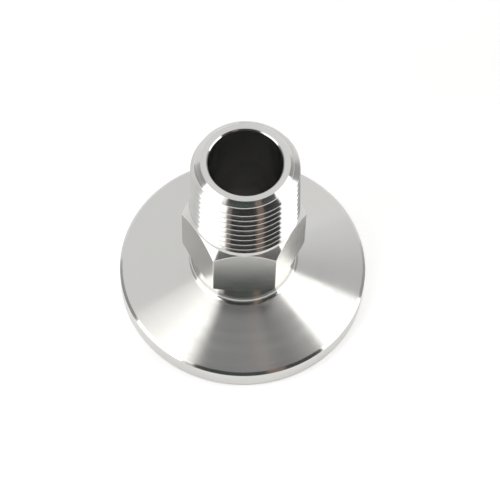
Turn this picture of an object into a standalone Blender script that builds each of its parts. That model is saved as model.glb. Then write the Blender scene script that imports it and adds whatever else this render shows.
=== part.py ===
"""Vacuum flange adapter: a clamp flange, a wrench hexagon and a male pipe nipple, all one piece of bar.

Metres, with +Z up along the bore. The sealing face lies on z = 0 and its centre is the origin. One closed
outline is turned about the bore, and then the six wrench flats are milled on the turned blank. The nipple is
the thread's blank: its side is the tapered cone that the thread crests lie on.
"""

import math

import bpy

MM = 0.001

# Flange for a clamp ring and a centring ring
FLANGE_DIAMETER = 40.0 * MM
RIM_HEIGHT = 3.45 * MM
RIM_TOP_CHAMFER = 0.35 * MM
RIM_FOOT_CHAMFER = 0.2 * MM
CLAMP_TAPER = math.radians(15)
RECESS_DIAMETER = 26.2 * MM
RECESS_DEPTH = 3.0 * MM
RECESS_CHAMFER = 0.2 * MM

# Neck between the flange and the hexagon
NECK_DIAMETER = 16.6 * MM
NECK_FILLET = 1.0 * MM

# Wrench hexagon, its two turned bevels, and the collar above it
ACROSS_FLATS = 17.0 * MM
HEX_FOOT = 10.48 * MM
HEX_LENGTH = 11.36 * MM
HEX_TOP_BEVEL = math.radians(52)
HEX_FOOT_BEVEL = math.radians(30)
BLANK_ALLOWANCE = 0.3 * MM
COLLAR_INSET = 0.05 * MM
COLLAR_LENGTH = 0.96 * MM

# Tapered pipe nipple and the bore right through the part
NIPPLE_LENGTH = 13.2 * MM
TIP_CREST_DIAMETER = 16.67 * MM
CREST_TAPER = 1 / 32
RUNOUT_ANGLE = math.radians(45)
TIP_FACE_DIAMETER = 13.75 * MM
TIP_BEVEL = math.radians(45)
BORE_DIAMETER = 11.5 * MM
BORE_CHAMFER = 0.2 * MM

# Facets of the turned surfaces
TURNING_STEPS = 96
FILLET_STEPS = 6
HEX_SIDES = 6
CUTTER_MARGIN = 1.0 * MM

STEEL_COLOUR = (0.63, 0.62, 0.60, 1.0)
STEEL_ROUGHNESS = 0.22
STEEL_METALLIC = 1.0

# Sizes that follow from those above
HALF_SIDE_ANGLE = math.pi / HEX_SIDES
HEX_CORNER_RADIUS = ACROSS_FLATS / 2 / math.cos(HALF_SIDE_ANGLE)
BLANK_RADIUS = HEX_CORNER_RADIUS + BLANK_ALLOWANCE
COLLAR_RADIUS = ACROSS_FLATS / 2 - COLLAR_INSET
HEX_TOP = HEX_FOOT + HEX_LENGTH
COLLAR_TOP = HEX_TOP + COLLAR_LENGTH
TIP_HEIGHT = COLLAR_TOP + NIPPLE_LENGTH


def clear_scene():
    """Remove every object that the open file holds."""
    for obj in list(bpy.data.objects):
        bpy.data.objects.remove(obj, do_unlink=True)


def new_collection(name):
    """Return a new collection linked to the scene."""
    collection = bpy.data.collections.new(name)
    bpy.context.scene.collection.children.link(collection)
    return collection


def steel_material():
    """Return the bare stainless steel of the whole part."""
    material = bpy.data.materials.new("stainless_steel")
    material.use_nodes = True
    shader = material.node_tree.nodes["Principled BSDF"]
    shader.inputs["Base Color"].default_value = STEEL_COLOUR
    shader.inputs["Roughness"].default_value = STEEL_ROUGHNESS
    shader.inputs["Metallic"].default_value = STEEL_METALLIC
    return material


def cone_height(radius):
    """Return the height of the clamp taper, the flange's conical back, at this radius."""
    return RIM_HEIGHT + (FLANGE_DIAMETER / 2 - radius) * math.tan(CLAMP_TAPER)


def crest_radius(height):
    """Return the radius of the thread crests at this height: the nipple widens downwards."""
    return TIP_CREST_DIAMETER / 2 + (TIP_HEIGHT - height) * CREST_TAPER


def tip_and_nipple():
    """Return the outline from the end face down the nipple to the top of the collar."""
    face = TIP_FACE_DIAMETER / 2
    drop = (TIP_CREST_DIAMETER / 2 - face) / (1 / math.tan(TIP_BEVEL) - CREST_TAPER)
    bevel_end = TIP_HEIGHT - drop
    step = crest_radius(COLLAR_TOP) - COLLAR_RADIUS
    runout = step / (1 / math.tan(RUNOUT_ANGLE) + CREST_TAPER)
    runout_top = COLLAR_TOP + runout
    return [
        (face, TIP_HEIGHT),
        (crest_radius(bevel_end), bevel_end),
        (crest_radius(runout_top), runout_top),
        (COLLAR_RADIUS, COLLAR_TOP),
    ]


def collar_and_hexagon_blank():
    """Return the outline of the collar, the upper bevel, the round blank and the lower bevel."""
    flat = ACROSS_FLATS / 2
    neck = NECK_DIAMETER / 2
    top_slope = math.tan(HEX_TOP_BEVEL)
    foot_slope = math.tan(HEX_FOOT_BEVEL)
    return [
        (COLLAR_RADIUS, HEX_TOP + (flat - COLLAR_RADIUS) * top_slope),
        (BLANK_RADIUS, HEX_TOP - (BLANK_RADIUS - flat) * top_slope),
        (BLANK_RADIUS, HEX_FOOT + (BLANK_RADIUS - flat) * foot_slope),
        (neck, HEX_FOOT - (flat - neck) * foot_slope),
    ]


def neck_fillet():
    """Return the arc that blends the neck into the clamp taper, from the neck outwards."""
    neck = NECK_DIAMETER / 2
    sweep = math.pi / 2 - CLAMP_TAPER
    rise = NECK_FILLET * math.tan(sweep / 2)
    centre_r = neck + NECK_FILLET
    centre_z = cone_height(neck) + rise
    arc = []
    for step in range(FILLET_STEPS + 1):
        angle = sweep * step / FILLET_STEPS
        radius = centre_r - NECK_FILLET * math.cos(angle)
        arc.append((radius, centre_z - NECK_FILLET * math.sin(angle)))
    return arc


def rim_and_sealing_face():
    """Return the outline over the flange's edge and in across the sealing face to the recess."""
    outer = FLANGE_DIAMETER / 2
    recess = RECESS_DIAMETER / 2
    top = outer - RIM_TOP_CHAMFER
    return [
        (top, cone_height(top)),
        (outer, cone_height(top) - RIM_TOP_CHAMFER),
        (outer, RIM_FOOT_CHAMFER),
        (outer - RIM_FOOT_CHAMFER, 0.0),
        (recess + RECESS_CHAMFER, 0.0),
        (recess, RECESS_CHAMFER),
        (recess, RECESS_DEPTH),
    ]


def bore_side():
    """Return the outline of the bore, from the recess floor up to the end face."""
    bore = BORE_DIAMETER / 2
    return [
        (bore + BORE_CHAMFER, RECESS_DEPTH),
        (bore, RECESS_DEPTH + BORE_CHAMFER),
        (bore, TIP_HEIGHT - BORE_CHAMFER),
        (bore + BORE_CHAMFER, TIP_HEIGHT),
    ]


def turned(name, outline, steps, collection):
    """Return an object that turns a closed outline of (radius, height) points once about Z."""
    count = len(outline)
    mesh = bpy.data.meshes.new(name)
    points = [(radius, 0.0, height) for radius, height in outline]
    edges = [(index, (index + 1) % count) for index in range(count)]
    mesh.from_pydata(points, edges, [])
    obj = bpy.data.objects.new(name, mesh)
    collection.objects.link(obj)
    screw = obj.modifiers.new("turn", "SCREW")
    screw.angle = 2 * math.pi
    screw.steps = steps
    screw.render_steps = steps
    screw.use_merge_vertices = True
    screw.merge_threshold = 0.0001 * MM
    return obj


def milling_cutter(collection):
    """Return the ring that mills the flats: it clears all that lies outside the hexagon."""
    inner = HEX_CORNER_RADIUS
    outer = BLANK_RADIUS / math.cos(HALF_SIDE_ANGLE) + CUTTER_MARGIN
    low = HEX_FOOT - CUTTER_MARGIN
    high = HEX_TOP + COLLAR_LENGTH / 2
    outline = [(outer, high), (outer, low), (inner, low), (inner, high)]
    cutter = turned("hexagon_milling_cutter", outline, HEX_SIDES, collection)
    cutter.hide_render = True
    cutter.display_type = "WIRE"
    return cutter


def bake_modifiers(obj):
    """Replace the object's mesh with the result of its modifiers, shaded smooth between its edges."""
    bpy.context.view_layer.update()
    graph = bpy.context.evaluated_depsgraph_get()
    mesh = bpy.data.meshes.new_from_object(obj.evaluated_get(graph))
    mesh.name = obj.name
    obj.modifiers.clear()
    obj.data = mesh
    mesh.shade_smooth()
    mesh.set_sharp_from_angle(angle=CLAMP_TAPER / 2)


def make_adapter(parts, cutters):
    """Turn the whole outline, mill the six flats and give the part its steel."""
    outline = tip_and_nipple() + collar_and_hexagon_blank() + neck_fillet()
    outline += rim_and_sealing_face() + bore_side()
    adapter = turned("adapter_body", outline, TURNING_STEPS, parts)
    mill = adapter.modifiers.new("mill_flats", "BOOLEAN")
    mill.operation = "DIFFERENCE"
    mill.solver = "EXACT"
    mill.object = milling_cutter(cutters)
    bake_modifiers(adapter)
    adapter.data.materials.clear()
    adapter.data.materials.append(steel_material())
    return adapter


def main():
    clear_scene()
    parts = new_collection("vacuum_flange_adapter")
    cutters = new_collection("cutters")
    make_adapter(parts, cutters)


main()
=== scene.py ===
"""A stainless vacuum flange adapter with a tapered pipe thread, in a light tent on a white floor.

The packed solid is the frame. A finer piece takes its place: the same outline turned in finer steps with its
edges rounded, the same hexagon milled on it, and the pipe thread cut in the nipple by Geometry Nodes. The
steel has one finish for each way it was worked. The stage is the floor, the tent's panels and the camera.
"""

import math

import bmesh
import bpy
import numpy as np
from bpy.props import FloatProperty, FloatVectorProperty, IntProperty, PointerProperty
from mathutils import Matrix, Vector


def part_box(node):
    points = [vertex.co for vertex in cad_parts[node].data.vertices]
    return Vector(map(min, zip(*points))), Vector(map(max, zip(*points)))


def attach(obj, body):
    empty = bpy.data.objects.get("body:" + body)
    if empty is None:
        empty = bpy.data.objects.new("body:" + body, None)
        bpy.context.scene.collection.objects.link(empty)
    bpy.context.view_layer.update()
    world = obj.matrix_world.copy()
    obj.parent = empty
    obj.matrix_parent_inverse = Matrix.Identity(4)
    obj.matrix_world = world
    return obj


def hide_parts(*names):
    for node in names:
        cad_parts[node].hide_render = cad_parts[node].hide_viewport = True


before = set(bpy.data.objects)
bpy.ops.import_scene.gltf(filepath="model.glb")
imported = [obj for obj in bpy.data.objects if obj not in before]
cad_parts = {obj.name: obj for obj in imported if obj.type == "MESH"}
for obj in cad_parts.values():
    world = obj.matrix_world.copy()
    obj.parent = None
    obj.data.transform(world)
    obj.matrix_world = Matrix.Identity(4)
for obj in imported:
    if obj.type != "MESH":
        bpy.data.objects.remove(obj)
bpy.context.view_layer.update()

bl_info = {
    "name": "Vacuum flange threaded adapter",
    "version": (1, 0, 0),
    "blender": (4, 5, 0),
    "location": "3D View > Sidebar > Adapter",
    "description": "Turns, mills and threads a clamp flange adapter and lights it in a tent",
    "category": "Add Mesh",
}

MM = 0.001
CAD_NODE = "adapter_body"

NODE_LOW, NODE_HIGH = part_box(CAD_NODE)
FLANGE_WIDTH = NODE_HIGH[0] - NODE_LOW[0]
TOTAL_HEIGHT = NODE_HIGH[2]

# Turning and milling
HEX_SIDES = 6
ARC_STEP = math.radians(7.5)
ARC_LEAST = 2
CUTTER_MARGIN = 1.0 * MM
MERGE_DISTANCE = 0.0001 * MM

# Breaking and shading the edges. The facets of an arc stay under the sharp angle, and those of a broken
# edge over it, so that each of these stays flat and the wide faces beside it stay true.
SLIVER = 0.004 * MM
BREAK_ANGLE = math.radians(25)
BREAK_STEPS = 2
SHARP_ANGLE = math.radians(8.5)
WIDE_FACES_FIRST = 100

# Telling the faces of the piece apart
NORMAL_TOLERANCE = 0.01
FLAT_TOLERANCE = 0.01 * MM
BORE_TOLERANCE = 0.05 * MM
LEAD_TOLERANCE = 0.1
RIGHTWARDS = 0.5


def length(name, description, millimetres):
    """Return a property for a length, with its default given in millimetres."""
    return FloatProperty(
        name=name, description=description, default=millimetres * MM, unit="LENGTH", precision=5
    )


def angle(name, description, degrees):
    """Return a property for an angle, with its default given in degrees."""
    return FloatProperty(
        name=name, description=description, default=math.radians(degrees), subtype="ANGLE"
    )


def share(name, description, default):
    """Return a property for a value from none to all."""
    return FloatProperty(
        name=name, description=description, default=default, min=0.0, max=1.0, subtype="FACTOR"
    )


def colour(name, description, default):
    """Return a property for a linear colour."""
    return FloatVectorProperty(
        name=name, description=description, default=default, min=0.0, max=1.0, subtype="COLOR"
    )


class BlankSizes(bpy.types.PropertyGroup):
    """Sizes of the turned and milled blank."""

    flange_diameter: length("Flange diameter", "Across the rim", FLANGE_WIDTH / MM)
    rim_height: length("Rim height", "Sealing face to the clamp taper's outer end", 3.45)
    rim_top_chamfer: length("Rim chamfer", "Inwards, between the rim and the clamp taper", 0.45)
    rim_top_drop: length("Rim chamfer drop", "Downwards, of the same chamfer", 0.38)
    rim_foot_chamfer: length("Rim foot chamfer", "Between the rim and the sealing face", 0.2)
    clamp_taper: angle("Clamp taper", "Slope of the flange's back", 15)
    recess_diameter: length("Recess diameter", "Recess for the centring ring", 26.2)
    recess_depth: length("Recess depth", "Sealing face to the recess floor", 3.0)
    recess_chamfer: length("Recess chamfer", "At the recess's mouth", 0.2)
    neck_diameter: length("Neck diameter", "Between the flange and the hexagon", 16.6)
    neck_fillet: length("Neck fillet", "Radius between the neck and the clamp taper", 1.0)
    across_flats: length("Across flats", "Wrench size of the hexagon", 17.0)
    hex_foot: length("Hexagon foot", "Sealing face to the hexagon", 10.48)
    hex_length: length("Hexagon length", "Along the bore", 11.36)
    hex_top_bevel: angle("Upper bevel", "Slope of the bevel on the hexagon's upper corners", 52)
    hex_foot_bevel: angle("Lower bevel", "Slope of the bevel on the hexagon's lower corners", 30)
    blank_allowance: length("Blank allowance", "Round blank beyond the hexagon's corners", 0.3)
    collar_inset: length("Collar inset", "Wrench flat to the collar's foot", 0.05)
    collar_length: length("Collar length", "Hexagon to the thread's end", 0.96)
    collar_lean: angle("Collar lean", "Slope of the collar's side towards the bore", 3)
    tip_face_diameter: length("End face diameter", "Where the lead bevel starts", 13.75)
    tip_bevel: angle("Lead bevel", "Slope of the bevel at the thread's start", 45)
    runout_angle: angle("Undercut angle", "Slope of the crest cone's lower end", 45)
    bore_diameter: length("Bore diameter", "Straight through the part", 11.5)
    bore_chamfer: length("Bore chamfer", "At both ends of the bore", 0.2)
    edge_break: length("Edge break", "Radius on the turned edges", 0.08)
    corner_break: length("Corner break", "On the edges of the hexagon", 0.08)
    turning_steps: IntProperty(
        name="Turning steps",
        description="Facets round the bore",
        default=288,
        min=24,
        max=576,
    )


class ThreadSizes(bpy.types.PropertyGroup):
    """Sizes of the tapered pipe thread, all cut in the nipple."""

    pitch: length("Pitch", "From crest to crest, 18 to the inch", 25.4 / 18)
    tip_crest_diameter: length("Crest diameter", "Across the crests at the end face", 16.67)
    crest_taper: share("Taper", "Radius gained for each length towards the collar", 1 / 32)
    flank_angle: angle("Flank angle", "Between a flank and a plane square to the bore", 30)
    crest_flat: length("Crest flat", "Width left between two turns of the groove", 0.16)
    root_flat: length("Root flat", "Width of the groove's floor", 0.07)
    front_crest: length("Front crest", "Height of one crest in front, above the sealing face", 34.137)
    front_turn: angle("Front turn", "Where that height holds, from the middle of the front", -2.08)
    grooves_below: IntProperty(
        name="Grooves below",
        description="Whole grooves between that crest and the lowest groove in front",
        default=7,
        min=0,
    )
    runout_start: FloatProperty(
        name="Run-out start",
        description="Turns below the lowest groove in front where the groove starts to fade",
        default=0.05,
        min=0,
    )
    runout_turns: FloatProperty(
        name="Run-out",
        description="Turns in which the groove fades at its foot",
        default=0.35,
        min=0,
        max=1,
    )
    cutter_reach: length("Cutter reach", "How far the cutter stands out of the crests", 0.08)
    crest_break: length("Crest break", "On the edges of the crests", 0.04)
    lead_break: length("Lead break", "Where the groove cuts the lead bevel", 0.2)
    steps: IntProperty(
        name="Thread steps",
        description="Facets in one turn of the groove",
        default=180,
        min=24,
        max=360,
    )


class SteelFinish(bpy.types.PropertyGroup):
    """Colour and polish of the bare steel."""

    steel: colour("Steel", "Reflection seen square on", (0.63, 0.625, 0.61))
    turned_roughness: share("Turned roughness", "Of the turned surfaces", 0.17)
    turned_grain: share("Turned grain", "How much the tool marks draw highlights out", 0.95)
    front_roughness: share("Front flat roughness", "Of the front wrench flat", 0.42)
    left_roughness: share("Left flat roughness", "Of the wrench flats on the left and behind", 0.14)
    right_roughness: share("Right flat roughness", "Of the wrench flats on the right", 0.28)
    bored_roughness: share("Bored roughness", "Of the bore", 0.14)


class StudioSettings(bpy.types.PropertyGroup):
    """Camera and light of the picture."""

    lens: FloatProperty(
        name="Lens", description="Focal length in millimetres", default=172.53, unit="CAMERA"
    )
    aim: FloatVectorProperty(
        name="Aim",
        description="Point that the camera looks at",
        default=(1.10 * MM, -0.05 * MM, 8.57 * MM),
        subtype="TRANSLATION",
        precision=5,
    )
    distance: length("Distance", "Camera to the point it looks at", 385.93)
    azimuth: angle("Azimuth", "Camera's turn from the front flat", -2.42)
    elevation: angle("Elevation", "Camera above the horizon", 61.148)
    roll: angle("Roll", "Camera's turn about its own axis", 1.8835)
    surround: FloatProperty(
        name="Surround", description="Brightness of the tent's walls", default=0.92, min=0
    )
    floor_white: share("Floor", "Reflection of the white floor", 0.9)
    floor_lift: share("Floor lift", "Glow that brings the floor in front to white in the picture", 0.35)
    floor_lift_behind: share("Floor lift behind", "The same glow behind the part", 0.12)
    floor_size: length("Floor size", "Side of the floor", 4000)


def cone_height(blank, radius):
    """Return the height of the clamp taper at this radius."""
    return blank.rim_height + (blank.flange_diameter / 2 - radius) * math.tan(blank.clamp_taper)


def crest_radius(thread, height):
    """Return the radius of the thread crests at this height: the nipple widens downwards."""
    return thread.tip_crest_diameter / 2 + (TOTAL_HEIGHT - height) * thread.crest_taper


def nipple_corners(blank, thread):
    """Return the corners from the end face down the nipple to the collar's foot."""
    hex_top = blank.hex_foot + blank.hex_length
    collar_top = hex_top + blank.collar_length
    collar_foot = blank.across_flats / 2 - blank.collar_inset
    collar_head = collar_foot - blank.collar_length * math.tan(blank.collar_lean)
    face = blank.tip_face_diameter / 2
    tip_slope = 1 / math.tan(blank.tip_bevel)
    drop = (thread.tip_crest_diameter / 2 - face) / (tip_slope - thread.crest_taper)
    bevel_end = TOTAL_HEIGHT - drop
    step = crest_radius(thread, collar_top) - collar_head
    runout_top = collar_top + step / (1 / math.tan(blank.runout_angle) + thread.crest_taper)
    return [
        (face, TOTAL_HEIGHT, blank.edge_break),
        (crest_radius(thread, bevel_end), bevel_end, blank.edge_break),
        (crest_radius(thread, runout_top), runout_top, 0.0),
        (collar_head, collar_top, 0.0),
        (collar_foot, hex_top + blank.collar_inset * math.tan(blank.hex_top_bevel), blank.edge_break / 2),
    ]


def hexagon_corners(blank):
    """Return the corners of the round blank that the hexagon is milled on, down to the neck."""
    flat = blank.across_flats / 2
    neck = blank.neck_diameter / 2
    hex_top = blank.hex_foot + blank.hex_length
    rim = flat / math.cos(math.pi / HEX_SIDES) + blank.blank_allowance
    return [
        (rim, hex_top - (rim - flat) * math.tan(blank.hex_top_bevel), 0.0),
        (rim, blank.hex_foot + (rim - flat) * math.tan(blank.hex_foot_bevel), 0.0),
        (neck, blank.hex_foot - (flat - neck) * math.tan(blank.hex_foot_bevel), blank.edge_break),
        (neck, cone_height(blank, neck), blank.neck_fillet),
    ]


def flange_corners(blank):
    """Return the corners over the rim, across the sealing face, up the recess and up the bore."""
    outer = blank.flange_diameter / 2
    recess = blank.recess_diameter / 2
    bore = blank.bore_diameter / 2
    rim_top = outer - blank.rim_top_chamfer
    soft = blank.edge_break
    return [
        (rim_top, cone_height(blank, rim_top), soft),
        (outer, cone_height(blank, rim_top) - blank.rim_top_drop, soft),
        (outer, blank.rim_foot_chamfer, soft),
        (outer - blank.rim_foot_chamfer, 0.0, soft),
        (recess + blank.recess_chamfer, 0.0, soft),
        (recess, blank.recess_chamfer, soft),
        (recess, blank.recess_depth, soft),
        (bore + blank.bore_chamfer, blank.recess_depth, soft),
        (bore, blank.recess_depth + blank.bore_chamfer, soft),
        (bore, TOTAL_HEIGHT - blank.bore_chamfer, soft),
        (bore + blank.bore_chamfer, TOTAL_HEIGHT, soft),
    ]


def rounded(corners):
    """Return a closed outline's points, with an arc at each corner that has a radius."""
    points = []
    for index, (radius, height, rounding) in enumerate(corners):
        here = Vector((radius, height))
        if rounding == 0.0:
            points.append(here)
            continue
        back = (Vector(corners[index - 1][:2]) - here).normalized()
        ahead = (Vector(corners[(index + 1) % len(corners)][:2]) - here).normalized()
        half = back.angle(ahead) / 2
        centre = here + (back + ahead).normalized() * (rounding / math.sin(half))
        start = here + back * (rounding / math.tan(half)) - centre
        end = here + ahead * (rounding / math.tan(half)) - centre
        sweep = start.angle(end)
        count = max(ARC_LEAST, math.ceil(sweep / ARC_STEP))
        for step in range(count + 1):
            turn = sweep * step / count
            spoke = start * math.sin(sweep - turn) + end * math.sin(turn)
            points.append(centre + spoke / math.sin(sweep))
    return points


def turned(name, points, steps):
    """Return an object that turns a closed outline of (radius, height) points once about Z."""
    count = len(points)
    mesh = bpy.data.meshes.new(name)
    edges = [(index, (index + 1) % count) for index in range(count)]
    mesh.from_pydata([(radius, 0.0, height) for radius, height in points], edges, [])
    obj = bpy.data.objects.new(name, mesh)
    bpy.context.scene.collection.objects.link(obj)
    screw = obj.modifiers.new("turn", "SCREW")
    screw.angle = 2 * math.pi
    screw.steps = steps
    screw.render_steps = steps
    screw.use_merge_vertices = True
    screw.merge_threshold = MERGE_DISTANCE
    return obj


def bake_modifiers(obj):
    """Replace the object's mesh with the result of its modifiers, and remove them."""
    bpy.context.view_layer.update()
    graph = bpy.context.evaluated_depsgraph_get()
    mesh = bpy.data.meshes.new_from_object(obj.evaluated_get(graph))
    obj.modifiers.clear()
    obj.data = mesh


def hexagon_cutter(blank):
    """Return the ring that clears all of the blank outside the hexagon."""
    inner = blank.across_flats / 2 / math.cos(math.pi / HEX_SIDES)
    outer = (inner + blank.blank_allowance) / math.cos(math.pi / HEX_SIDES) + CUTTER_MARGIN
    low = blank.hex_foot - CUTTER_MARGIN
    high = blank.hex_foot + blank.hex_length + blank.collar_length / 2
    outline = [(outer, high), (outer, low), (inner, low), (inner, high)]
    cutter = turned("hexagon_cutter", outline, HEX_SIDES)
    bake_modifiers(cutter)
    return cutter


def add_node(tree, kind, **settings):
    """Add a node to a tree, with its settings."""
    node = tree.nodes.new(kind)
    for key, value in settings.items():
        setattr(node, key, value)
    return node


def feed(tree, node, values):
    """Link a node's first inputs to sockets, or set them to numbers or vectors."""
    for slot, value in enumerate(values):
        if isinstance(value, bpy.types.NodeSocket):
            tree.links.new(value, node.inputs[slot])
        else:
            node.inputs[slot].default_value = value


def math_node(tree, operation, *values):
    """Add a Math node and return its output."""
    node = add_node(tree, "ShaderNodeMath", operation=operation)
    feed(tree, node, values)
    return node.outputs[0]


def vector_node(tree, operation, *values):
    """Add a Vector Math node and return its vector output."""
    node = add_node(tree, "ShaderNodeVectorMath", operation=operation)
    feed(tree, node, values)
    return node.outputs[0]


def length_node(tree, vector):
    """Add a node that measures a vector and return its output."""
    node = add_node(tree, "ShaderNodeVectorMath", operation="LENGTH")
    tree.links.new(vector, node.inputs[0])
    return node.outputs["Value"]


def split_node(tree, vector):
    """Add a node that splits a vector and return its outputs."""
    node = add_node(tree, "ShaderNodeSeparateXYZ")
    tree.links.new(vector, node.inputs[0])
    return node.outputs


def ramp_node(tree, value, source, target):
    """Add a node that maps one range onto another and return its output."""
    node = add_node(tree, "ShaderNodeMapRange")
    feed(tree, node, (value, *source, *target))
    return node.outputs[0]


# A vector times this loses its height
LEVEL = (1.0, 1.0, 0.0)

# The piece's names for the thread's work and for the steel of the hexagon's flats
THREAD_MARK = "cut_thread"
THREAD_STEEL = "threaded_steel"
FLAT_STEELS = ("front_flat", "left_flat", "right_flat")

THREAD_INPUTS = [
    ("Geometry", "NodeSocketGeometry"),
    ("Start Angle", "NodeSocketFloat"),
    ("Start Height", "NodeSocketFloat"),
    ("Climb", "NodeSocketFloat"),
    ("Turns", "NodeSocketFloat"),
    ("Run-out Turns", "NodeSocketFloat"),
    ("Start Radius", "NodeSocketFloat"),
    ("End Radius", "NodeSocketFloat"),
    ("Depth", "NodeSocketFloat"),
    ("Root Flat", "NodeSocketFloat"),
    ("Mouth", "NodeSocketFloat"),
    ("Steps", "NodeSocketInt"),
    ("Thread Steel", "NodeSocketMaterial"),
]


def thread_path(tree, given):
    """Add the nodes of the groove's middle line: a tapered spiral that drifts outwards at its foot."""
    links = tree.links
    spiral = add_node(tree, "GeometryNodeCurveSpiral")
    links.new(given["Steps"], spiral.inputs["Resolution"])
    links.new(given["Turns"], spiral.inputs["Rotations"])
    links.new(given["Start Radius"], spiral.inputs["Start Radius"])
    links.new(given["End Radius"], spiral.inputs["End Radius"])
    links.new(given["Climb"], spiral.inputs["Height"])
    spiral.inputs["Reverse"].default_value = True

    along = add_node(tree, "GeometryNodeSplineParameter").outputs["Factor"]
    faded = math_node(tree, "DIVIDE", given["Run-out Turns"], given["Turns"])
    here = add_node(tree, "GeometryNodeInputPosition").outputs[0]
    outwards = vector_node(tree, "NORMALIZE", vector_node(tree, "MULTIPLY", here, LEVEL))
    push = add_node(tree, "ShaderNodeVectorMath", operation="SCALE")
    links.new(outwards, push.inputs[0])
    links.new(ramp_node(tree, along, (0.0, faded), (given["Depth"], 0.0)), push.inputs["Scale"])
    runout = add_node(tree, "GeometryNodeSetPosition")
    links.new(spiral.outputs[0], runout.inputs["Geometry"])
    links.new(push.outputs[0], runout.inputs["Offset"])

    placed = add_node(tree, "GeometryNodeTransform")
    rise = add_node(tree, "ShaderNodeCombineXYZ")
    links.new(given["Start Height"], rise.inputs["Z"])
    turn = add_node(tree, "ShaderNodeCombineXYZ")
    links.new(given["Start Angle"], turn.inputs["Z"])
    links.new(rise.outputs[0], placed.inputs["Translation"])
    links.new(turn.outputs[0], placed.inputs["Rotation"])
    links.new(runout.outputs[0], placed.inputs["Geometry"])
    upright = add_node(tree, "GeometryNodeSetCurveNormal", mode="Z_UP")
    links.new(placed.outputs[0], upright.inputs["Curve"])
    return upright.outputs[0]


def thread_tree():
    """Return the node tree that cuts a helical groove in the geometry it is given and gives it its steel."""
    tree = bpy.data.node_groups.new("cut_tapered_thread", "GeometryNodeTree")
    for name, kind in THREAD_INPUTS:
        tree.interface.new_socket(name=name, in_out="INPUT", socket_type=kind)
    tree.interface.new_socket(name="Geometry", in_out="OUTPUT", socket_type="NodeSocketGeometry")
    given = add_node(tree, "NodeGroupInput").outputs
    links = tree.links

    section = add_node(tree, "GeometryNodeCurvePrimitiveQuadrilateral", mode="TRAPEZOID")
    links.new(given["Root Flat"], section.inputs["Bottom Width"])
    links.new(given["Mouth"], section.inputs["Top Width"])
    links.new(given["Depth"], section.inputs["Height"])
    section.inputs["Offset"].default_value = 0.0
    faced_in = add_node(tree, "GeometryNodeTransform")
    faced_in.inputs["Rotation"].default_value = (0.0, 0.0, -math.pi / 2)
    links.new(section.outputs[0], faced_in.inputs["Geometry"])

    groove = add_node(tree, "GeometryNodeCurveToMesh")
    links.new(thread_path(tree, given), groove.inputs["Curve"])
    links.new(faced_in.outputs[0], groove.inputs["Profile Curve"])
    groove.inputs["Fill Caps"].default_value = True

    mark = add_node(tree, "GeometryNodeStoreNamedAttribute", data_type="BOOLEAN", domain="FACE")
    mark.inputs["Name"].default_value = THREAD_MARK
    mark.inputs["Value"].default_value = True
    links.new(groove.outputs[0], mark.inputs["Geometry"])

    cut = add_node(tree, "GeometryNodeMeshBoolean", operation="DIFFERENCE", solver="EXACT")
    links.new(given["Geometry"], cut.inputs["Mesh 1"])
    links.new(mark.outputs[0], cut.inputs["Mesh 2"])

    marked = add_node(tree, "GeometryNodeInputNamedAttribute", data_type="BOOLEAN")
    marked.inputs["Name"].default_value = THREAD_MARK
    real = add_node(tree, "GeometryNodeRealizeInstances")
    links.new(cut.outputs["Mesh"], real.inputs[0])
    finish = add_node(tree, "GeometryNodeSetMaterial")
    links.new(real.outputs[0], finish.inputs["Geometry"])
    links.new(marked.outputs["Attribute"], finish.inputs["Selection"])
    links.new(given["Thread Steel"], finish.inputs["Material"])
    links.new(finish.outputs[0], add_node(tree, "NodeGroupOutput").inputs[0])
    return tree


def set_inputs(modifier, tree, values):
    """Set a Geometry Nodes modifier's inputs by their names, through their sockets' identifiers."""
    for item in tree.interface.items_tree:
        if item.in_out == "INPUT" and item.name in values:
            modifier[item.identifier] = values[item.name]


def cut_thread(obj, thread, steel):
    """Cut the helical groove in the nipple: floor and flanks at full depth, fading out above the collar."""
    front = -math.pi / 2 + thread.front_turn
    groove_front = thread.front_crest - (thread.grooves_below + 0.5) * thread.pitch
    lead = thread.runout_start + thread.runout_turns
    start_height = groove_front - lead * thread.pitch
    turns = (TOTAL_HEIGHT + thread.pitch - start_height) / thread.pitch
    climb = turns * thread.pitch
    slope = math.tan(thread.flank_angle)
    cut_depth = (thread.pitch - thread.crest_flat - thread.root_flat) / 2 / slope
    depth = cut_depth + thread.cutter_reach
    middle = thread.cutter_reach - depth / 2
    tree = thread_tree()
    modifier = obj.modifiers.new("cut_thread", "NODES")
    modifier.node_group = tree
    values = {
        "Start Angle": front - lead * 2 * math.pi,
        "Start Height": start_height,
        "Climb": climb,
        "Turns": turns,
        "Run-out Turns": thread.runout_turns,
        "Start Radius": crest_radius(thread, start_height) + middle,
        "End Radius": crest_radius(thread, start_height + climb) + middle,
        "Depth": depth,
        "Root Flat": thread.root_flat,
        "Mouth": thread.root_flat + 2 * depth * slope,
        "Steps": thread.steps,
        "Thread Steel": steel,
    }
    set_inputs(modifier, tree, values)
    bake_modifiers(obj)


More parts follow.
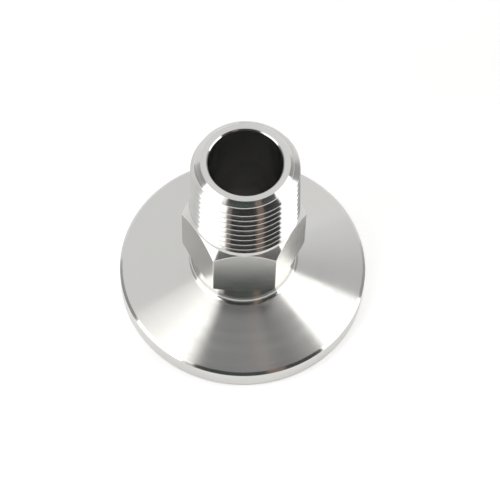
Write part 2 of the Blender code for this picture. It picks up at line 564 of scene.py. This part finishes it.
def paint_blank(mesh, blank, finishes):
    """Give the wrench flats, the bore and the turned surfaces their own steel."""
    for material in finishes.values():
        mesh.materials.append(material)
    order = list(finishes)
    count = len(mesh.polygons)
    centres = np.zeros(count * 3)
    normals = np.zeros(count * 3)
    mesh.polygons.foreach_get("center", centres)
    mesh.polygons.foreach_get("normal", normals)
    centres = centres.reshape(-1, 3)
    normals = normals.reshape(-1, 3)
    depth = (centres[:, :2] * normals[:, :2]).sum(axis=1)
    upright = np.abs(normals[:, 2]) < NORMAL_TOLERANCE
    on_flat = upright & (np.abs(depth - blank.across_flats / 2) < FLAT_TOLERANCE)
    in_bore = upright & (np.abs(depth + blank.bore_diameter / 2) < BORE_TOLERANCE)
    index = np.full(count, order.index("turned"))
    index[on_flat] = order.index("left_flat")
    index[on_flat & (normals[:, 0] > RIGHTWARDS)] = order.index("right_flat")
    index[on_flat & (normals[:, 1] < NORMAL_TOLERANCE - 1)] = order.index("front_flat")
    index[in_bore] = order.index("bored")
    mesh.polygons.foreach_set("material_index", index)


def break_edges(obj, blank, thread):
    """Take the sharp edge off the crests, off the hexagon and off the thread's start on the lead bevel."""
    shape = bmesh.new()
    shape.from_mesh(obj.data)
    bmesh.ops.dissolve_degenerate(shape, dist=SLIVER, edges=shape.edges)
    names = [material.name for material in obj.data.materials]
    cut = names.index(THREAD_STEEL)
    flats = {names.index(name) for name in FLAT_STEELS}
    lead_low = TOTAL_HEIGHT - (crest_radius(thread, TOTAL_HEIGHT) - blank.tip_face_diameter / 2)
    lead_tilt = math.cos(blank.tip_bevel)
    weights = shape.edges.layers.float.new("bevel_weight_edge")
    for edge in shape.edges:
        if edge.calc_face_angle(0.0) < BREAK_ANGLE:
            continue
        works = [face.material_index for face in edge.link_faces]
        if cut in works and works[0] != works[1]:
            blank_face = edge.link_faces[works.index(cut) - 1]
            faces_lead = abs(blank_face.normal.z - lead_tilt) < LEAD_TOLERANCE
            on_lead = faces_lead and edge.verts[0].co.z > lead_low
            edge[weights] = 1.0 if on_lead else thread.crest_break / thread.lead_break
        elif flats.intersection(works):
            edge[weights] = blank.corner_break / thread.lead_break
    shape.to_mesh(obj.data)
    shape.free()
    broken = obj.modifiers.new("broken_edges", "BEVEL")
    broken.limit_method = "WEIGHT"
    broken.width = thread.lead_break
    broken.segments = BREAK_STEPS
    broken.use_clamp_overlap = False
    bake_modifiers(obj)


def smooth_shading(obj):
    """Shade the turned surfaces smooth, with sharp edges kept and wide faces true."""
    obj.data.shade_smooth()
    obj.data.set_sharp_from_angle(angle=SHARP_ANGLE)
    weighted = obj.modifiers.new("true_faces", "WEIGHTED_NORMAL")
    weighted.keep_sharp = True
    weighted.weight = WIDE_FACES_FIRST
    bake_modifiers(obj)


def clear_attribute(mesh, name):
    """Remove a working attribute that the finished piece doesn't need."""
    attribute = mesh.attributes.get(name)
    if attribute:
        mesh.attributes.remove(attribute)


# Tool marks: how far apart they are, and the depth that stands for the bump
TURNED_MARKS = (0.2 * MM, 0.0011 * MM)
THREADED_MARKS = (0.16 * MM, 0.0005 * MM)
BORED_MARKS = (0.3 * MM, 0.004 * MM)
MILLED_MARKS = (0.012 * MM, 0.0001 * MM)

# Broad turning marks against the fine ones: their spacing and their share of the height
BROAD_SPACING = 6
BROAD_SHARE = 2.0

# Milled marks lie level, so they are drawn out that way
MILLED_STRETCH = (0.3, 0.3, 1.0)

# Smears from handling, and how much marks, smears and rubbing change the roughness
TURNED_SMEARS = 6 * MM
MILLED_SMEARS = 5 * MM
TURNED_MARKS_DULL = (0.75, 1.25)
TURNED_SMEARS_DULL = (0.9, 1.1)
MILLED_MARKS_DULL = (0.55, 1.1)
MILLED_SMEARS_DULL = (0.92, 1.08)
RUBBED_DULL = (0.8, 1.2)

# Most of a noise's values lie in this range
NOISE_RANGE = (0.25, 0.75)

# The shader's tangent runs round the bore, and a quarter turn draws highlights out across the marks
BORE_AXIS = (0.0, 0.0, 1.0)
QUARTER_TURN = 0.25


def steel_material(name, finish, roughness, grain):
    """Return a bare steel material, its tree, its shader and its Object coordinates."""
    material = bpy.data.materials.new(name)
    material.use_nodes = True
    tree = material.node_tree
    shader = tree.nodes["Principled BSDF"]
    shader.inputs["Base Color"].default_value = (*finish.steel, 1.0)
    shader.inputs["Metallic"].default_value = 1.0
    shader.inputs["Roughness"].default_value = roughness
    shader.inputs["Anisotropic"].default_value = grain
    shader.inputs["Anisotropic Rotation"].default_value = QUARTER_TURN
    place = add_node(tree, "ShaderNodeTexCoord").outputs["Object"]
    if grain:
        around = vector_node(tree, "CROSS_PRODUCT", BORE_AXIS, place)
        tree.links.new(around, shader.inputs["Tangent"])
    return material, tree, shader, place


def lathe_coordinates(tree, place):
    """Return (radius, 0, height) of a point, which is the same all the way round the bore."""
    joined = add_node(tree, "ShaderNodeCombineXYZ")
    radius = length_node(tree, vector_node(tree, "MULTIPLY", place, LEVEL))
    tree.links.new(radius, joined.inputs["X"])
    tree.links.new(split_node(tree, place)["Z"], joined.inputs["Z"])
    return joined.outputs[0]


def noise(tree, vector, spacing):
    """Return the value of a noise whose lumps are about this far apart, from none to all."""
    node = add_node(tree, "ShaderNodeTexNoise")
    node.inputs["Scale"].default_value = 1.0 / spacing
    tree.links.new(vector, node.inputs["Vector"])
    return node.outputs["Fac"]


def spread(tree, value, target):
    """Return a noise's value drawn out over a range."""
    return ramp_node(tree, value, NOISE_RANGE, target)


def add_bump(tree, shader, height, depth):
    """Bend the light by a height from none to all, which stands for this depth."""
    bump = add_node(tree, "ShaderNodeBump")
    bump.inputs["Strength"].default_value = 1.0
    bump.inputs["Distance"].default_value = depth
    tree.links.new(height, bump.inputs["Height"])
    tree.links.new(bump.outputs[0], shader.inputs["Normal"])


def set_roughness(tree, shader, product, *factors):
    """Set the shader's roughness to the product of these."""
    for factor in factors:
        product = math_node(tree, "MULTIPLY", product, factor)
    tree.links.new(product, shader.inputs["Roughness"])


def turned_steel(name, finish, roughness, tool_marks):
    """Return steel with the fine rings of a turning tool, this far apart and this deep."""
    material, tree, shader, place = steel_material(name, finish, roughness, finish.turned_grain)
    spacing, depth = tool_marks
    lathe = lathe_coordinates(tree, place)
    fine = noise(tree, lathe, spacing)
    broad = noise(tree, lathe, spacing * BROAD_SPACING)
    smears = noise(tree, place, TURNED_SMEARS)
    both = math_node(tree, "ADD", fine, math_node(tree, "MULTIPLY", broad, BROAD_SHARE))
    add_bump(tree, shader, both, depth)
    marked = spread(tree, broad, TURNED_MARKS_DULL)
    smeared = spread(tree, smears, TURNED_SMEARS_DULL)
    set_roughness(tree, shader, marked, smeared, roughness)
    return material


def milled_steel(name, finish, roughness, blank):
    """Return the steel of a wrench flat: marks finer than the eye parts, rubbed duller near the thread."""
    material, tree, shader, place = steel_material(name, finish, roughness, 0.0)
    spacing, depth = MILLED_MARKS
    marks = noise(tree, vector_node(tree, "MULTIPLY", place, MILLED_STRETCH), spacing)
    smears = noise(tree, place, MILLED_SMEARS)
    add_bump(tree, shader, marks, depth)
    marked = spread(tree, marks, MILLED_MARKS_DULL)
    smeared = spread(tree, smears, MILLED_SMEARS_DULL)
    hexagon = (blank.hex_foot, blank.hex_foot + blank.hex_length)
    rubbed = ramp_node(tree, split_node(tree, place)["Z"], hexagon, RUBBED_DULL)
    set_roughness(tree, shader, marked, smeared, rubbed, roughness)
    return material


def blank_finishes(finish, blank):
    """Return the steel of each way that the blank was worked."""
    return {
        "turned": turned_steel("turned_steel", finish, finish.turned_roughness, TURNED_MARKS),
        "front_flat": milled_steel("front_flat", finish, finish.front_roughness, blank),
        "left_flat": milled_steel("left_flat", finish, finish.left_roughness, blank),
        "right_flat": milled_steel("right_flat", finish, finish.right_roughness, blank),
        "bored": turned_steel("bored_steel", finish, finish.bored_roughness, BORED_MARKS),
    }


class ADAPTER_OT_body(bpy.types.Operator):
    """Turn, mill and thread the adapter's one piece of steel"""

    bl_idname = "adapter.body"
    bl_label = "Adapter body"

    def execute(self, context):
        scene = context.scene
        blank, thread, finish = scene.blank_sizes, scene.thread_sizes, scene.steel_finish
        corners = nipple_corners(blank, thread) + hexagon_corners(blank) + flange_corners(blank)
        body = turned("threaded_adapter", rounded(corners), blank.turning_steps)
        cutter = hexagon_cutter(blank)
        mill = body.modifiers.new("mill_flats", "BOOLEAN")
        mill.operation = "DIFFERENCE"
        mill.solver = "EXACT"
        mill.object = cutter
        bake_modifiers(body)
        bpy.data.objects.remove(cutter, do_unlink=True)
        paint_blank(body.data, blank, blank_finishes(finish, blank))
        steel = turned_steel(THREAD_STEEL, finish, finish.turned_roughness, THREADED_MARKS)
        cut_thread(body, thread, steel)
        break_edges(body, blank, thread)
        smooth_shading(body)
        clear_attribute(body.data, THREAD_MARK)
        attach(body, "root")
        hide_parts(CAD_NODE)
        return {"FINISHED"}


# The camera's nearest and furthest view, in metres
CLIP_START = 0.01
CLIP_END = 10.0


def camera_place(studio):
    """Return the camera's matrix: at its distance from its aim, rolled about its own axis."""
    ring = math.cos(studio.elevation)
    away = Vector(
        (
            math.sin(studio.azimuth) * ring,
            -math.cos(studio.azimuth) * ring,
            math.sin(studio.elevation),
        )
    )
    turn = away.to_track_quat("Z", "Y").to_matrix().to_4x4()
    roll = Matrix.Rotation(studio.roll, 4, "Z")
    return Matrix.Translation(Vector(studio.aim) + away * studio.distance) @ turn @ roll


def add_camera(scene, studio):
    """Add the camera at the photograph's viewing angle."""
    data = bpy.data.cameras.new("camera")
    data.lens = studio.lens
    data.clip_start = CLIP_START
    data.clip_end = CLIP_END
    camera = bpy.data.objects.new("camera", data)
    scene.collection.objects.link(camera)
    camera.matrix_world = camera_place(studio)
    scene.camera = camera


# The floor's glow goes from its strength in front to that behind between these places on Y
GLOW_FADES = (-FLANGE_WIDTH / 4, FLANGE_WIDTH)


def seen_rays(tree):
    """Return a value that is 1 for what the camera sees, straight, in metal or through glass."""
    path = add_node(tree, "ShaderNodeLightPath").outputs
    seen = math_node(tree, "MAXIMUM", path["Is Camera Ray"], path["Is Glossy Ray"])
    return math_node(tree, "MAXIMUM", seen, path["Is Transmission Ray"])


def glowing_material(name, shade, strength):
    """Return a material that only shines, in this colour and strength."""
    material = bpy.data.materials.new(name)
    material.use_nodes = True
    tree = material.node_tree
    tree.nodes.clear()
    glow = add_node(tree, "ShaderNodeEmission")
    glow.inputs["Color"].default_value = (*shade, 1.0)
    glow.inputs["Strength"].default_value = strength
    output = add_node(tree, "ShaderNodeOutputMaterial")
    tree.links.new(glow.outputs[0], output.inputs["Surface"])
    return material


def floor_material(studio):
    """Return the white floor, which takes the part's shadow and glows a little round it."""
    material = bpy.data.materials.new("white_floor")
    material.use_nodes = True
    tree = material.node_tree
    shader = tree.nodes["Principled BSDF"]
    white = studio.floor_white
    shader.inputs["Base Color"].default_value = (white, white, white, 1.0)
    shader.inputs["Roughness"].default_value = 1.0
    shader.inputs["Specular IOR Level"].default_value = 0.0
    shader.inputs["Emission Color"].default_value = (*WHITE, 1.0)
    place = add_node(tree, "ShaderNodeTexCoord").outputs["Object"]
    beyond = math_node(tree, "GREATER_THAN", length_node(tree, place), FLANGE_WIDTH / 2)
    glow = (studio.floor_lift, studio.floor_lift_behind)
    lift = ramp_node(tree, split_node(tree, place)["Y"], GLOW_FADES, glow)
    seen = math_node(tree, "MULTIPLY", seen_rays(tree), beyond)
    tree.links.new(math_node(tree, "MULTIPLY", lift, seen), shader.inputs["Emission Strength"])
    return material


# Degrees between the rows and columns of a panel's mesh
PANEL_STEP = 3

# Colours of the light
WHITE = (1.0, 1.0, 1.0)
SOFT_WHITE = (1.0, 1.0, 0.98)

# Panels of the tent. Each has its distance in millimetres, its colour, its strength, and its outline as
# rows of elevation, left azimuth and right azimuth in degrees. Azimuth 0 is square to the front flat, and
# azimuths grow to the right. A nearer panel hides what it covers of a further one. The two soft boxes are
# bright, the gaps beside them and the front are dark, and the other panels lie between.
PANELS = {
    "left_soft_box": (
        600,
        SOFT_WHITE,
        2.6,
        (
            (0, -87, -40),
            (16, -83, -44),
            (25, -85, -45),
            (31, -87, -44),
            (34, -88, -37),
            (40, -91, -36),
            (45, -93, -40),
        ),
    ),
    "left_soft_box_top": (
        600,
        SOFT_WHITE,
        2.0,
        (
            (45, -93, -40),
            (54, -96, -40),
            (58, -97, -44),
            (62, -97, -50),
            (67, -100, -60),
            (75, -106, -80),
            (79, -108, -90),
        ),
    ),
    "left_soft_box_edge": (
        640,
        SOFT_WHITE,
        1.22,
        ((42, -96, -88), (54, -108, -90), (61, -118, -96), (68, -123, -100), (75, -136, -105)),
    ),
    "left_soft_box_fade": (
        620,
        SOFT_WHITE,
        1.42,
        ((45, -95, -88), (54, -101, -90), (61, -106, -94), (68, -109, -98), (75, -116, -104)),
    ),
    "left_soft_box_front": (
        640,
        SOFT_WHITE,
        1.0,
        ((66, -62, -56), (70, -70, -60), (75, -82, -67), (79, -92, -73)),
    ),
    "right_soft_box": (
        600,
        SOFT_WHITE,
        2.6,
        ((0, 57, 98), (21, 59, 100), (33, 61, 101), (40, 62, 104), (45, 64, 110)),
    ),
    "right_soft_box_top": (
        600,
        SOFT_WHITE,
        2.0,
        (
            (45, 64, 110),
            (49, 65, 114),
            (55, 70, 124),
            (61, 81, 130),
            (66, 94, 133),
            (70, 107, 135),
            (75, 124, 138),
        ),
    ),
    "warm_strip": (
        630,
        (1.0, 0.76, 0.65),
        0.28,
        ((0, 17, 27), (27, 18, 31), (57, 20, 34), (76, 23, 41)),
    ),
    "warm_edge": (
        640,
        (1.0, 0.87, 0.77),
        0.33,
        ((42, -48, -34), (54, -44, -31), (62, -60, -36), (70, -72, -46)),
    ),
    "left_gap": (
        660,
        WHITE,
        0.36,
        (
            (0, -122, -82),
            (10, -120, -82),
            (18, -113, -82),
            (25, -108, -83),
            (31, -103, -84),
            (36, -96, -86),
        ),
    ),
    "right_gap": (
        660,
        WHITE,
        0.36,
        ((0, 90, 130), (16, 92, 126), (30, 94, 122), (38, 96, 115), (41, 98, 108)),
    ),
    "right_back": (690, WHITE, 0.99, ((25, 146, 185), (62, 146, 185))),
    "right_rear_far": (680, WHITE, 0.86, ((28, 120, 147), (57, 120, 147))),
    "right_rear": (675, WHITE, 0.77, ((28, 116, 140), (57, 116, 140))),
    "right_rear_near": (670, WHITE, 0.63, ((28, 110, 132), (60, 110, 132))),
    "teal_cloth": (680, (0.62, 0.9, 0.8), 0.135, ((20, -17, 18), (36, -17, 19))),
    "front_foot": (700, WHITE, 0.1, ((0, -60, 70), (9, -60, 70))),
    "front_band": (700, WHITE, 0.18, ((9, -60, 70), (19, -60, 70))),
    "front_low": (700, (0.93, 1.0, 1.0), 0.09, ((19, -60, 70), (36, -60, 75))),
    "front_high": (700, SOFT_WHITE, 0.037, ((36, -60, 75), (60, -70, 90), (79, -100, 100))),
    "right_roof": (690, WHITE, 0.42, ((64, 80, 104), (80, 76, 122))),
    "roof_left": (720, WHITE, 0.46, ((79, -104, -80), (90, -104, -80))),
    "roof_middle": (720, (0.97, 1.0, 1.0), 0.22, ((79, -80, 26), (90, -80, 26))),
    "roof_right": (720, WHITE, 0.3, ((79, 26, 104), (90, 26, 104))),
    "roof_warm": (715, (1.0, 0.84, 0.79), 0.33, ((79, 24, 44), (88, 36, 70))),
}


def refined(rows):
    """Return a panel's rows with more rows between them, so that none are further apart than the step."""
    finer = [rows[0]]
    for low, high in zip(rows, rows[1:]):
        count = math.ceil((high[0] - low[0]) / PANEL_STEP)
        for step in range(1, count + 1):
            finer.append([a + (b - a) * step / count for a, b in zip(low, high)])
    return finer


def add_panel(name, distance, shade, strength, outline):
    """Add a curved panel of the tent, which the camera doesn't see and which casts no shadow."""
    rows = refined(outline)
    columns = math.ceil(max(right - left for _, left, right in rows) / PANEL_STEP)
    points = []
    for rise, left, right in rows:
        ring = math.cos(math.radians(rise))
        for column in range(columns + 1):
            turn = math.radians(left + (right - left) * column / columns)
            spoke = Vector((math.sin(turn) * ring, -math.cos(turn) * ring, math.sin(math.radians(rise))))
            points.append(spoke * distance * MM)
    faces = []
    for row in range(len(rows) - 1):
        for column in range(columns):
            low = row * (columns + 1) + column
            high = low + columns + 1
            faces.append((low, low + 1, high + 1, high))
    mesh = bpy.data.meshes.new(name)
    mesh.from_pydata(points, [], faces)
    mesh.materials.append(glowing_material(name, shade, strength))
    obj = bpy.data.objects.new(name, mesh)
    bpy.context.scene.collection.objects.link(obj)
    obj.visible_camera = False
    obj.visible_shadow = False


def add_world(scene, studio):
    """Add the even light of the tent's walls, which is also the pale backdrop."""
    world = bpy.data.worlds.new("tent")
    scene.world = world
    world.use_nodes = True
    background = world.node_tree.nodes["Background"]
    background.inputs["Color"].default_value = (*WHITE, 1.0)
    background.inputs["Strength"].default_value = studio.surround


def add_floor(scene, studio):
    """Add the floor that the sealing face stands on."""
    half = studio.floor_size / 2
    mesh = bpy.data.meshes.new("floor")
    corners = [(-half, -half, 0.0), (half, -half, 0.0), (half, half, 0.0), (-half, half, 0.0)]
    mesh.from_pydata(corners, [], [(0, 1, 2, 3)])
    mesh.materials.append(floor_material(studio))
    obj = bpy.data.objects.new("floor", mesh)
    scene.collection.objects.link(obj)


class ADAPTER_OT_stage(bpy.types.Operator):
    """Add the floor, the light tent and the camera"""

    bl_idname = "adapter.stage"
    bl_label = "Stage"

    def execute(self, context):
        scene = context.scene
        studio = scene.studio_settings
        add_world(scene, studio)
        add_floor(scene, studio)
        for name, settings in PANELS.items():
            add_panel(name, *settings)
        add_camera(scene, studio)
        scene.view_settings.view_transform = "Standard"
        return {"FINISHED"}


class ADAPTER_PT_panel(bpy.types.Panel):
    """List the sizes and the steps in the sidebar"""

    bl_idname = "ADAPTER_PT_panel"
    bl_label = "Vacuum flange adapter"
    bl_space_type = "VIEW_3D"
    bl_region_type = "UI"
    bl_category = "Adapter"

    def draw(self, context):
        layout = self.layout
        for group, values in SETTINGS.items():
            box = layout.box()
            box.label(text=values.__doc__)
            for name in values.__annotations__:
                box.prop(getattr(context.scene, group), name)
        for operator in OPERATORS:
            layout.operator(operator.bl_idname)


SETTINGS = {
    "blank_sizes": BlankSizes,
    "thread_sizes": ThreadSizes,
    "steel_finish": SteelFinish,
    "studio_settings": StudioSettings,
}
OPERATORS = (ADAPTER_OT_body, ADAPTER_OT_stage)
CLASSES = (*SETTINGS.values(), *OPERATORS, ADAPTER_PT_panel)


def register():
    """Add the classes, and give the scene their settings."""
    for item in CLASSES:
        bpy.utils.register_class(item)
    for name, group in SETTINGS.items():
        setattr(bpy.types.Scene, name, PointerProperty(type=group))


def unregister():
    """Remove the settings and the classes."""
    for name in SETTINGS:
        delattr(bpy.types.Scene, name)
    for item in reversed(CLASSES):
        bpy.utils.unregister_class(item)


def main():
    """Make the part and its stage."""
    register()
    bpy.ops.adapter.body()
    bpy.ops.adapter.stage()


if __name__ == "__main__":
    main()
